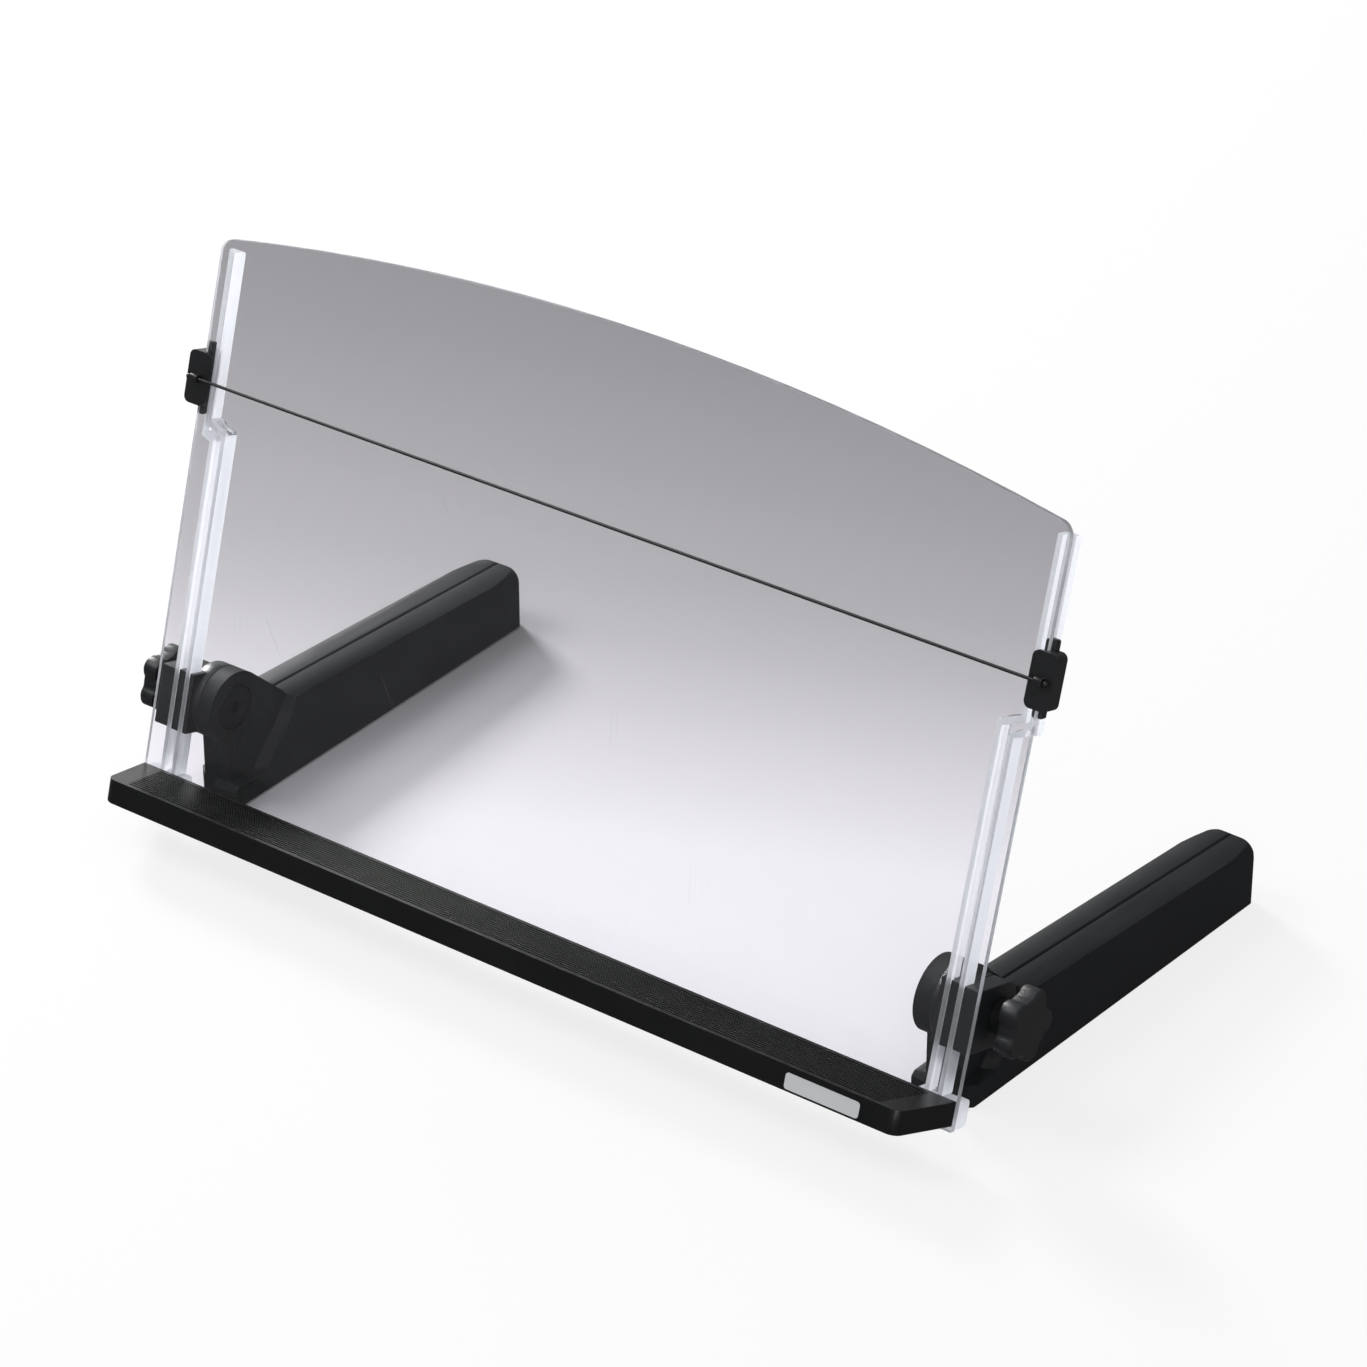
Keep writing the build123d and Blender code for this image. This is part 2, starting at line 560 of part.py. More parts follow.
# Right slider: pivot disc, cheek beside the track, T-shaped key and outer block
CHEEK_OUT_X = TRACK_IN_X - KEY_GAP
CHEEK_IN_X = CHEEK_OUT_X - SLIDER_CHEEK_T
CHEEK_REAR_D = BLOCK_FRONT_D + SLIDER_CHEEK_L
SLIDER_BOTTOM = PIVOT_S - SLIDER_H / 2
with BuildPart() as slider_body_right:
    with BuildSketch(PIVOT_SIDE.offset(SEAM_X)):
        Circle(DISC_R)
    extrude(amount=DISC_T)
    with BuildSketch(PANEL_SIDE.offset(CHEEK_OUT_X)):
        with Locations((BLOCK_FRONT_D, PIVOT_S)):
            Rectangle(2 * DISC_R, 2 * DISC_R, align=(Align.MAX, Align.CENTER))
    extrude(amount=DISC_OUT_X - CHEEK_OUT_X, mode=Mode.SUBTRACT)
    with BuildSketch(PANEL_SECTION.offset(SLIDER_BOTTOM)):
        with Locations((CHEEK_IN_X, KEY_FRONT_D)):
            Rectangle(SLIDER_CHEEK_T, CHEEK_REAR_D - KEY_FRONT_D, align=(Align.MIN, Align.MIN))
        with Locations((TRACK_X, KEY_FRONT_D)):
            Rectangle(
                2 * (WALL_IN - KEY_GAP),
                KEY_SHOULDER_D - KEY_FRONT_D,
                align=(Align.CENTER, Align.MIN),
            )
            Rectangle(
                2 * (LIP_IN - KEY_GAP),
                CHEEK_REAR_D - KEY_FRONT_D,
                align=(Align.CENTER, Align.MIN),
            )
    extrude(amount=SLIDER_H)
    with BuildSketch(PANEL_SIDE.offset(DISC_OUT_X)):
        with Locations((BLOCK_FRONT_D, PIVOT_S)):
            block = Rectangle(
                SLIDER_REAR_D - BLOCK_FRONT_D,
                SLIDER_H,
                align=(Align.MIN, Align.CENTER),
            )
        fillet(block.vertices().group_by(Axis.X)[-1], radius=SLIDER_REAR_R)
    extrude(amount=SLIDER_BLOCK_T)
    with BuildSketch(PIVOT_SIDE.offset(SEAM_X)):
        Circle(WASHER_R + SEAT_PLAY)
    extrude(amount=WASHER_T - WASHER_PROUD, mode=Mode.SUBTRACT)
    with BuildSketch(PIVOT_SIDE.offset(SEAM_X)):
        Circle(SEAT_R)
    extrude(amount=BLOCK_OUT_X - SEAM_X, mode=Mode.SUBTRACT)
slider_body_right.part.label = "slider_body_right"
export_step(slider_body_right.part, "parts/slider_body_right.step")

with BuildPart() as slider_body_left:
    mirror(slider_body_right.part, about=Plane.YZ)
slider_body_left.part.label = "slider_body_left"
export_step(slider_body_left.part, "parts/slider_body_left.step")

# Friction washer between the slider's disc and the arm's disc
with BuildPart() as friction_washer_right:
    with BuildSketch(PIVOT_SIDE.offset(SEAM_X - WASHER_PROUD)):
        Circle(WASHER_R)
        Circle(SEAT_R, mode=Mode.SUBTRACT)
    extrude(amount=WASHER_T)
friction_washer_right.part.label = "friction_washer_right"
export_step(friction_washer_right.part, "parts/friction_washer_right.step")

with BuildPart() as friction_washer_left:
    mirror(friction_washer_right.part, about=Plane.YZ)
friction_washer_left.part.label = "friction_washer_left"
export_step(friction_washer_left.part, "parts/friction_washer_left.step")

# Threaded stud with a wide flat head and a hex socket
with BuildPart() as pivot_stud_right:
    with BuildSketch(PIVOT_SIDE.offset(STUD_HEAD_X)):
        Circle(STUD_HEAD_D / 2)
    extrude(amount=STUD_HEAD_T)
    chamfer(pivot_stud_right.edges().sort_by(Axis.X)[0], length=STUD_HEAD_BEVEL)
    with BuildSketch(PIVOT_SIDE.offset(STUD_NECK_X)):
        Circle(STUD_D / 2)
    extrude(amount=INSERT_END_X - STUD_TIP_GAP - STUD_NECK_X)
    chamfer(pivot_stud_right.edges().sort_by(Axis.X)[-1], length=STUD_HEAD_BEVEL)
    with BuildSketch(PIVOT_SIDE.offset(STUD_HEAD_X)):
        RegularPolygon(STUD_SOCKET_AF / 2, side_count=6, major_radius=False)
    extrude(amount=STUD_SOCKET_D, mode=Mode.SUBTRACT)
pivot_stud_right.part.label = "pivot_stud_right"
export_step(pivot_stud_right.part, "parts/pivot_stud_right.step")

with BuildPart() as pivot_stud_left:
    mirror(pivot_stud_right.part, about=Plane.YZ)
pivot_stud_left.part.label = "pivot_stud_left"
export_step(pivot_stud_left.part, "parts/pivot_stud_left.step")

# Outer clamp jaw, which pinches the track's outer wall against the key
JAW_FACE_X = TRACK_OUT_X + KEY_GAP
with BuildPart() as clamp_jaw_right:
    with BuildSketch(PANEL_SECTION.offset(SLIDER_BOTTOM)):
        Polygon(
            (JAW_FACE_X, KEY_FRONT_D),
            (JAW_OUT_X, KEY_FRONT_D),
            (JAW_OUT_X, SLIDER_REAR_D),
            (JAW_IN_X, SLIDER_REAR_D),
            (JAW_IN_X, BLOCK_FRONT_D),
            (JAW_FACE_X, BLOCK_FRONT_D),
            align=None,
        )
    extrude(amount=SLIDER_H)
    jaw_corners = clamp_jaw_right.edges().filter_by(Axis.X).group_by(DEPTH_AXIS)[-1]
    fillet(jaw_corners, radius=SLIDER_REAR_R)
    with BuildSketch(PIVOT_SIDE.offset(JAW_IN_X)):
        Circle(RUN_R)
    extrude(amount=JAW_T, mode=Mode.SUBTRACT)
clamp_jaw_right.part.label = "clamp_jaw_right"
export_step(clamp_jaw_right.part, "parts/clamp_jaw_right.step")

with BuildPart() as clamp_jaw_left:
    mirror(clamp_jaw_right.part, about=Plane.YZ)
clamp_jaw_left.part.label = "clamp_jaw_left"
export_step(clamp_jaw_left.part, "parts/clamp_jaw_left.step")

# Thrust washer between the jaw and the knob
with BuildPart() as thrust_washer_right:
    with BuildSketch(PIVOT_SIDE.offset(JAW_OUT_X)):
        Circle(THRUST_WASHER_R)
        Circle(RUN_R, mode=Mode.SUBTRACT)
    extrude(amount=THRUST_WASHER_T)
thrust_washer_right.part.label = "thrust_washer_right"
export_step(thrust_washer_right.part, "parts/thrust_washer_right.step")

with BuildPart() as thrust_washer_left:
    mirror(thrust_washer_right.part, about=Plane.YZ)
thrust_washer_left.part.label = "thrust_washer_left"
export_step(thrust_washer_left.part, "parts/thrust_washer_left.step")

# Star knob with rounded lobes and a blind bore for the insert
with BuildPart() as knob_right:
    with BuildSketch(PIVOT_SIDE.offset(KNOB_IN_X)) as star:
        Circle(KNOB_VALLEY_R)
        with PolarLocations(KNOB_TIP_R - KNOB_LOBE_R, KNOB_LOBES, start_angle=KNOB_FIRST_LOBE):
            Circle(KNOB_LOBE_R)
        fillet(star.vertices(), radius=KNOB_VALLEY_FILLET)
    extrude(amount=KNOB_T)
    chamfer(knob_right.faces().sort_by(Axis.X)[-1].edges(), length=KNOB_RIM_BEVEL)
    with BuildSketch(PIVOT_SIDE.offset(HUB_IN_X)):
        Circle(KNOB_HUB_R)
    extrude(amount=KNOB_HUB_L)
    with BuildSketch(PIVOT_SIDE.offset(HUB_IN_X)):
        Circle(INSERT_R + SEAT_PLAY)
    extrude(amount=INSERT_END_X - HUB_IN_X, mode=Mode.SUBTRACT)
knob_right.part.label = "knob_right"
export_step(knob_right.part, "parts/knob_right.step")

with BuildPart() as knob_left:
    mirror(knob_right.part, about=Plane.YZ)
knob_left.part.label = "knob_left"
export_step(knob_left.part, "parts/knob_left.step")

# Metal insert of the knob, which runs on the stud's thread
with BuildPart() as knob_insert_right:
    with BuildSketch(PIVOT_SIDE.offset(HUB_IN_X)):
        Circle(INSERT_R)
        Circle(RUN_R, mode=Mode.SUBTRACT)
    extrude(amount=INSERT_END_X - HUB_IN_X)
knob_insert_right.part.label = "knob_insert_right"
export_step(knob_insert_right.part, "parts/knob_insert_right.step")

with BuildPart() as knob_insert_left:
    mirror(knob_insert_right.part, about=Plane.YZ)
knob_insert_left.part.label = "knob_insert_left"
export_step(knob_insert_left.part, "parts/knob_insert_left.step")

# Straight lines of the arm's shell between its front and its rear end
FRONT_HALF_W = height_at(ARM_HALF_W, REAR_HALF_W, -ARM_FRONT)
FRONT_SIDE_H = height_at(ARM_SIDE_H, ARM_REAR_SIDE_H, -ARM_FRONT)
FRONT_RIDGE_H = height_at(ARM_RIDGE_H, ARM_REAR_RIDGE_H, -ARM_FRONT)
CAVITY_END = ARM_LENGTH - ARM_END_WALL
CAVITY_HALF_W = height_at(ARM_HALF_W, REAR_HALF_W, ARM_CAVITY_START)
CAVITY_SIDE_H = height_at(ARM_SIDE_H, ARM_REAR_SIDE_H, ARM_CAVITY_START)
CAVITY_RIDGE_H = height_at(ARM_RIDGE_H, ARM_REAR_RIDGE_H, ARM_CAVITY_START)
END_HALF_W = height_at(ARM_HALF_W, REAR_HALF_W, CAVITY_END)
END_SIDE_H = height_at(ARM_SIDE_H, ARM_REAR_SIDE_H, CAVITY_END)
END_RIDGE_H = height_at(ARM_RIDGE_H, ARM_REAR_RIDGE_H, CAVITY_END)
ARM_HIGH = 2 * ARM_RIDGE_H
ARM_AHEAD = -2 * DISC_R
AHEAD_RIDGE_H = height_at(ARM_RIDGE_H, ARM_REAR_RIDGE_H, ARM_AHEAD)

RIM_TOP = rim_points(SHELF_TOP_Z)[-1]
FOOT_TOP = foot_points(SHELF_TOP_Z)[-1]
RIM_Z = SHELF_TOP_Z - SHELF_RIM_DROP

# Line from the roof's front end that just touches the top of the arm's disc
TANGENT_RUN = hypot(NECK_ROOF_L, PIVOT.Z - NECK_TOP_Z)
TANGENT_ANGLE = acos(DISC_R / TANGENT_RUN) - atan2(PIVOT.Z - NECK_TOP_Z, NECK_ROOF_L)
TANGENT_L = DISC_R * cos(TANGENT_ANGLE)
TANGENT_Z = PIVOT.Z + DISC_R * sin(TANGENT_ANGLE)

# Side outline shared by both halves, rounded at the rear end
with BuildSketch(ARM_SIDE) as arm_side:
    with BuildLine():
        Polyline(
            (ARM_AHEAD, ARM_FLOOR_Z - ARM_OUTLINE_PLAY),
            (ARM_AHEAD, AHEAD_RIDGE_H + ARM_OUTLINE_PLAY),
            (ARM_LENGTH, ARM_REAR_RIDGE_H + ARM_OUTLINE_PLAY),
            (ARM_LENGTH, ARM_FLOOR_Z - ARM_OUTLINE_PLAY),
            close=True,
        )
    make_face()
    top_corner = arm_side.vertices().group_by(Axis.X)[-1].sort_by(Axis.Y)[-1]
    fillet(top_corner, radius=ARM_REAR_TOP_R)
    foot_corner = arm_side.vertices().group_by(Axis.X)[-1].sort_by(Axis.Y)[0]
    fillet(foot_corner, radius=ARM_REAR_FOOT_R)

# Inner half of the right arm, which carries the disc of the pivot joint
with BuildPart() as arm_inner_right:
    with BuildSketch(arm_section(-ARM_FRONT)):
        Polygon(*shell_outline(-1, FRONT_HALF_W, FRONT_SIDE_H, FRONT_RIDGE_H), align=None)
    with BuildSketch(arm_section(ARM_LENGTH)):
        Polygon(*shell_outline(-1, REAR_HALF_W, ARM_REAR_SIDE_H, ARM_REAR_RIDGE_H), align=None)
    loft(ruled=True)
    rear_edges = arm_inner_right.faces().sort_by(ARM_AXIS)[-1].edges().filter_by(Axis.Z)
    fillet(rear_edges.sort_by(ACROSS_AXIS)[0], radius=ARM_REAR_PLAN_R)
    extrude(arm_side.sketch, amount=ARM_HALF_W + ARM_EDGE, both=True, mode=Mode.INTERSECT)
    with BuildSketch(ARM_SIDE.offset(-ARM_HALF_W - ARM_EDGE)):
        Polygon(
            (ARM_AHEAD, SHELF_LIP_Z),
            (-ARM_FRONT, SHELF_LIP_Z),
            (-NECK_FRONT, SHELF_TOP_Z),
            (-NECK_FRONT, ARM_HIGH),
            (ARM_AHEAD, ARM_HIGH),
            align=None,
        )
    extrude(amount=ARM_HALF_W + ARM_EDGE, mode=Mode.SUBTRACT)
    with BuildSketch(ARM_SIDE.offset(-ARM_HALF_W - ARM_EDGE)):
        with BuildLine():
            Spline(*rim_points(RIM_Z))
            Polyline(RIM_TOP, (ARM_AHEAD, RIM_TOP[1]), (ARM_AHEAD, RIM_Z), (rim_points(RIM_Z)[0]))
        make_face()
    with BuildSketch(ARM_SIDE.offset(-NECK_INNER)):
        with BuildLine():
            Spline(*foot_points(SHELF_TOP_Z))
            Polyline(
                FOOT_TOP,
                (ARM_AHEAD, FOOT_TOP[1]),
                (ARM_AHEAD, SHELF_TOP_Z),
                foot_points(SHELF_TOP_Z)[0],
            )
        make_face()
    loft(ruled=True, mode=Mode.SUBTRACT)
    with BuildSketch(ARM_SIDE.offset(-NECK_INNER)):
        Polygon(
            (-NECK_FRONT, SHELF_TOP_Z),
            (-NECK_FRONT, PIVOT.Z),
            (0, PIVOT.Z),
            (TANGENT_L, TANGENT_Z),
            (NECK_ROOF_L, NECK_TOP_Z),
            (NECK_ROOF_L, SHELF_TOP_Z),
            align=None,
        )
    extrude(amount=NECK_INNER)
    with BuildSketch(PIVOT_SIDE.offset(TONGUE_IN_X)):
        Circle(DISC_R)
    extrude(amount=TONGUE_OUT_X - TONGUE_IN_X)
    with BuildSketch(PIVOT_SIDE.offset(TONGUE_OUT_X)):
        Circle(SADDLE_R)
    extrude(amount=NECK_INNER, mode=Mode.SUBTRACT)
    with BuildSketch(PIVOT_SIDE.offset(TONGUE_IN_X - NECK_INNER)):
        Circle(STUD_HEAD_D / 2 + HEAD_RECESS_GAP)
    extrude(amount=NECK_INNER + HEAD_SINK + STUD_HEAD_T + KNOB_GAP, mode=Mode.SUBTRACT)
    with BuildSketch(PIVOT_SIDE.offset(TONGUE_IN_X)):
        Circle(RUN_R)
    extrude(amount=TONGUE_OUT_X - TONGUE_IN_X, mode=Mode.SUBTRACT)
    with BuildSketch(ARM_SIDE.offset(-NECK_INNER)):
        with Locations((0, PIVOT.Z - DIMPLE_DROP)):
            Circle(DIMPLE_R)
    extrude(amount=DIMPLE_DEPTH, mode=Mode.SUBTRACT)
    with BuildSketch(arm_section(ARM_CAVITY_START)):
        Polygon(*cavity_outline(-1, CAVITY_HALF_W, CAVITY_SIDE_H, CAVITY_RIDGE_H), align=None)
    with BuildSketch(arm_section(CAVITY_END)):
        Polygon(*cavity_outline(-1, END_HALF_W, END_SIDE_H, END_RIDGE_H), align=None)
    loft(ruled=True, mode=Mode.SUBTRACT)
    with BuildSketch(ARM_SIDE.offset(-ARM_HALF_W + ARM_WALL)):
        for dowel_l in DOWEL_AT:
            with Locations((dowel_l, DOWEL_Z)):
                Circle(DOWEL_BOSS_R)
    extrude(amount=ARM_HALF_W - ARM_WALL)
    with BuildSketch(ARM_SIDE.offset(-DOWEL_L / 2 - DOWEL_END_PLAY)):
        for dowel_l in DOWEL_AT:
            with Locations((dowel_l, DOWEL_Z)):
                Circle(DOWEL_D / 2)
    extrude(amount=DOWEL_L / 2 + DOWEL_END_PLAY, mode=Mode.SUBTRACT)
    with BuildSketch(ARM_PLAN):
        with Locations((0, PAD_FRONT_L), (0, PAD_REAR_L)):
            RectangleRounded(PAD_W, PAD_L, PAD_R)
    extrude(amount=PAD_T, mode=Mode.SUBTRACT)
arm_inner_right.part.label = "arm_inner_right"
export_step(arm_inner_right.part, "parts/arm_inner_right.step")

with BuildPart() as arm_inner_left:
    mirror(arm_inner_right.part, about=Plane.YZ)
arm_inner_left.part.label = "arm_inner_left"
export_step(arm_inner_left.part, "parts/arm_inner_left.step")

# Outer half of the right arm, with a saddle that clears the slider's disc
with BuildPart() as arm_outer_right:
    with BuildSketch(arm_section(-ARM_FRONT)):
        Polygon(*shell_outline(1, FRONT_HALF_W, FRONT_SIDE_H, FRONT_RIDGE_H), align=None)
    with BuildSketch(arm_section(ARM_LENGTH)):
        Polygon(*shell_outline(1, REAR_HALF_W, ARM_REAR_SIDE_H, ARM_REAR_RIDGE_H), align=None)
    loft(ruled=True)
    rear_edges = arm_outer_right.faces().sort_by(ARM_AXIS)[-1].edges().filter_by(Axis.Z)
    fillet(rear_edges.sort_by(ACROSS_AXIS)[-1], radius=ARM_REAR_PLAN_R)
    extrude(arm_side.sketch, amount=ARM_HALF_W + ARM_EDGE, both=True, mode=Mode.INTERSECT)
    with BuildSketch(ARM_PLAN):
        Polygon(
            (0, -NECK_FRONT),
            (0, ARM_AHEAD),
            (2 * ARM_HALF_W, ARM_AHEAD),
            (2 * ARM_HALF_W, SHELF_CORNER_L - NECK_FRONT),
            (FRONT_HALF_W, SHELF_CORNER_L - NECK_FRONT),
            (FRONT_HALF_W - SHELF_CORNER_W, -NECK_FRONT),
            align=None,
        )
    extrude(amount=ARM_HIGH, mode=Mode.SUBTRACT)
    with BuildSketch(ARM_SIDE):
        Polygon(
            (ARM_AHEAD, NECK_TOP_Z),
            (NECK_ROOF_L, NECK_TOP_Z),
            (NECK_ROOF_L, ARM_HIGH),
            (ARM_AHEAD, ARM_HIGH),
            align=None,
        )
    extrude(amount=2 * ARM_HALF_W, mode=Mode.SUBTRACT)
    with BuildSketch(ARM_SIDE.offset(NECK_OUTER)):
        with BuildLine():
            Spline(*foot_points(SHELF_TOP_Z))
            Polyline(
                FOOT_TOP,
                (ARM_AHEAD, FOOT_TOP[1]),
                (ARM_AHEAD, SHELF_TOP_Z),
                foot_points(SHELF_TOP_Z)[0],
            )
        make_face()
    with BuildSketch(ARM_SIDE.offset(ARM_HALF_W + ARM_EDGE)):
        with BuildLine():
            Spline(*rim_points(RIM_Z))
            Polyline(RIM_TOP, (ARM_AHEAD, RIM_TOP[1]), (ARM_AHEAD, RIM_Z), (rim_points(RIM_Z)[0]))
        make_face()
    loft(ruled=True, mode=Mode.SUBTRACT)
    with BuildSketch(PIVOT_SIDE.offset(TONGUE_OUT_X - NECK_INNER)):
        Circle(SADDLE_R)
    extrude(amount=2 * NECK_INNER + ARM_HALF_W, mode=Mode.SUBTRACT)
    with BuildSketch(arm_section(ARM_CAVITY_START)):
        Polygon(*cavity_outline(1, CAVITY_HALF_W, CAVITY_SIDE_H, CAVITY_RIDGE_H), align=None)
    with BuildSketch(arm_section(CAVITY_END)):
        Polygon(*cavity_outline(1, END_HALF_W, END_SIDE_H, END_RIDGE_H), align=None)
    loft(ruled=True, mode=Mode.SUBTRACT)
    with BuildSketch(ARM_SIDE):
        for dowel_l in DOWEL_AT:
            with Locations((dowel_l, DOWEL_Z)):
                Circle(DOWEL_BOSS_R)
    extrude(amount=ARM_HALF_W - ARM_WALL)
    with BuildSketch(ARM_SIDE):
        for dowel_l in DOWEL_AT:
            with Locations((dowel_l, DOWEL_Z)):
                Circle(DOWEL_D / 2)
    extrude(amount=DOWEL_L / 2 + DOWEL_END_PLAY, mode=Mode.SUBTRACT)
    with BuildSketch(ARM_PLAN):
        with Locations((0, PAD_FRONT_L), (0, PAD_REAR_L)):
            RectangleRounded(PAD_W, PAD_L, PAD_R)
    extrude(amount=PAD_T, mode=Mode.SUBTRACT)
arm_outer_right.part.label = "arm_outer_right"
export_step(arm_outer_right.part, "parts/arm_outer_right.step")

with BuildPart() as arm_outer_left:
    mirror(arm_outer_right.part, about=Plane.YZ)
arm_outer_left.part.label = "arm_outer_left"
export_step(arm_outer_left.part, "parts/arm_outer_left.step")

# Dowels that key the two halves of an arm together
with BuildPart() as arm_dowels_right:
    with BuildSketch(ARM_SIDE.offset(-DOWEL_L / 2)):
        for dowel_l in DOWEL_AT:
            with Locations((dowel_l, DOWEL_Z)):
                Circle(DOWEL_D / 2)
    extrude(amount=DOWEL_L)
arm_dowels_right.part.label = "arm_dowels_right"
export_step(arm_dowels_right.part, "parts/arm_dowels_right.step")

with BuildPart() as arm_dowels_left:
    mirror(arm_dowels_right.part, about=Plane.YZ)
arm_dowels_left.part.label = "arm_dowels_left"
export_step(arm_dowels_left.part, "parts/arm_dowels_left.step")

# Soft pads under the arms
with BuildPart() as pad_front_right:
    with BuildSketch(ARM_PLAN):
        with Locations((0, PAD_FRONT_L)):
            RectangleRounded(PAD_W, PAD_L, PAD_R)
    extrude(amount=PAD_T)
pad_front_right.part.label = "pad_front_right"
export_step(pad_front_right.part, "parts/pad_front_right.step")

with BuildPart() as pad_front_left:
    mirror(pad_front_right.part, about=Plane.YZ)
pad_front_left.part.label = "pad_front_left"
export_step(pad_front_left.part, "parts/pad_front_left.step")

with BuildPart() as pad_rear_right:
    with BuildSketch(ARM_PLAN):
        with Locations((0, PAD_REAR_L)):
            RectangleRounded(PAD_W, PAD_L, PAD_R)
    extrude(amount=PAD_T)
pad_rear_right.part.label = "pad_rear_right"
export_step(pad_rear_right.part, "parts/pad_rear_right.step")

with BuildPart() as pad_rear_left:
    mirror(pad_rear_right.part, about=Plane.YZ)
pad_rear_left.part.label = "pad_rear_left"
export_step(pad_rear_left.part, "parts/pad_rear_left.step")
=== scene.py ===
import math
import bmesh
import bpy
from mathutils import Matrix, Vector


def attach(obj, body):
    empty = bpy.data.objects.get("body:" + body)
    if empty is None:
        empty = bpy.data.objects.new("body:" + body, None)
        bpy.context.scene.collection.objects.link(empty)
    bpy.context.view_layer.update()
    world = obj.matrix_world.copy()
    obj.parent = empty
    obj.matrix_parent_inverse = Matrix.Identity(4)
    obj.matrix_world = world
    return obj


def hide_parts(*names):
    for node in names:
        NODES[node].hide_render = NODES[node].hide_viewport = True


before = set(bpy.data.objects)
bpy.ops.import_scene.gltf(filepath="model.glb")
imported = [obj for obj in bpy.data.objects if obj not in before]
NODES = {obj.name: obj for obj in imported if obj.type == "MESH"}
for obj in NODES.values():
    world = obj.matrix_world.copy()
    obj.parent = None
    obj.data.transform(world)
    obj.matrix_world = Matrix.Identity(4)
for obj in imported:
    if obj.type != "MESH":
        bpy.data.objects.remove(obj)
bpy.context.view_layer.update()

# Lengths are in metres throughout.

# The panel's lean, the direction from its face to the rear, and where its back and the tracks lie
LEAN = math.radians(16.2)
INTO_DEPTH = (0, math.cos(LEAN), -math.sin(LEAN))
PANEL_BACK = -0.10394
TRACK_X = 0.2157
TRACK_HALF_W = 0.0043
BOND_DEPTH = 0.0022

# Opaque finishes: broad patches and fine grain shift the colour, and rubbed scuffs add relief
PATCH_SCALE = 35.0
PATCH_DETAIL = 5.0
PATCH_COLOUR_SPAN = (0.3, 0.7)
PATCH_COLOUR_SHARE = 0.55
PATCH_GLOSS_SPAN = (0.25, 0.75)
GRAIN_DETAIL = 3.0
GRAIN_ROUGH = 0.6
GRAIN_COLOUR_SHARE = 0.45
SCUFF_SCALE = 260.0
SCUFF_DETAIL = 2.0
SCUFF_ROUGH = 0.5
SCUFF_STRETCH = (1, 0.06, 1)
SCUFF_SPAN = (0.66, 0.72)
SCUFF_STRENGTH = 0.1
SCUFF_DEPTH = 0.00002

# Clear plastic: uneven gloss, a milky veil in streaks, and hairline scratches in two directions
ACRYLIC_IOR = 1.49
BACKLIT_SHARE = 0.7
WEAR_SCALE = 9.0
WEAR_DETAIL = 3.0
WEAR_SPAN = (0.35, 0.8)
STREAK_SCALE = 60.0
STREAK_DETAIL = 3.0
STREAK_ROUGH = 0.5
STREAK_SPAN = (0.35, 0.65)
SCRATCH_TURNS = ((0.3, 0.15, 0.5), (-0.2, 0.4, -0.7))
SCRATCH_SCALE = 420.0
SCRATCH_DETAIL = 1.0
SCRATCH_ROUGH = 0.4
SCRATCH_STRETCH = (1, 0.02, 0.02)
SCRATCH_SPAN = (0.72, 0.75)
SCRATCHED_PLACE_SCALE = 23.0
SCRATCHED_PLACE_DETAIL = 2.0
SCRATCHED_PLACE_ROUGH = 0.5
SCRATCHED_PLACE_SPAN = (0.6, 0.66)
CUT_FACE_SPAN = (0.4, 0.6)
SHADOW_LEAST = 0.5
SHADOW_TINT_SHARE = 0.45


# Shader helpers
def material(name):
    m = bpy.data.materials.new(name)
    m.use_nodes = True
    m.node_tree.nodes.clear()
    return m, m.node_tree


def node(tree, kind, **values):
    n = tree.nodes.new(kind)
    for key, value in values.items():
        setattr(n, key, value)
    return n


def noise(tree, scale, detail=4.0, rough=0.55, stretch=(1, 1, 1), turn=(0, 0, 0)):
    """Noise over the object's own coordinates; a small stretch number draws it out along that axis."""
    coord = node(tree, "ShaderNodeTexCoord")
    turned = node(tree, "ShaderNodeMapping")
    turned.inputs["Rotation"].default_value = turn
    mapping = node(tree, "ShaderNodeMapping")
    mapping.inputs["Scale"].default_value = stretch
    n = node(tree, "ShaderNodeTexNoise")
    n.inputs["Scale"].default_value = scale
    n.inputs["Detail"].default_value = detail
    n.inputs["Roughness"].default_value = rough
    tree.links.new(coord.outputs["Object"], turned.inputs["Vector"])
    tree.links.new(turned.outputs["Vector"], mapping.inputs["Vector"])
    tree.links.new(mapping.outputs["Vector"], n.inputs["Vector"])
    return n.outputs["Fac"]


def spread(tree, value, from_low, from_high, to_low, to_high):
    """Stretch a value's span onto another span, and hold it at both ends."""
    m = node(tree, "ShaderNodeMapRange")
    m.inputs["From Min"].default_value = from_low
    m.inputs["From Max"].default_value = from_high
    m.inputs["To Min"].default_value = to_low
    m.inputs["To Max"].default_value = to_high
    tree.links.new(value, m.inputs["Value"])
    return m.outputs["Result"]


def bump(tree, height, strength, distance, normal=None):
    """Relief from a height, on top of an earlier relief if one is given."""
    b = node(tree, "ShaderNodeBump")
    b.inputs["Strength"].default_value = strength
    b.inputs["Distance"].default_value = distance
    tree.links.new(height, b.inputs["Height"])
    if normal is not None:
        tree.links.new(normal, b.inputs["Normal"])
    return b.outputs["Normal"]


def where(tree, source, axis):
    """Distance of the shaded point along an axis, or the lean of its normal to that axis."""
    coord = node(tree, "ShaderNodeTexCoord")
    along = node(tree, "ShaderNodeVectorMath", operation="DOT_PRODUCT")
    along.inputs[1].default_value = axis
    tree.links.new(coord.outputs[source], along.inputs[0])
    return along.outputs["Value"]


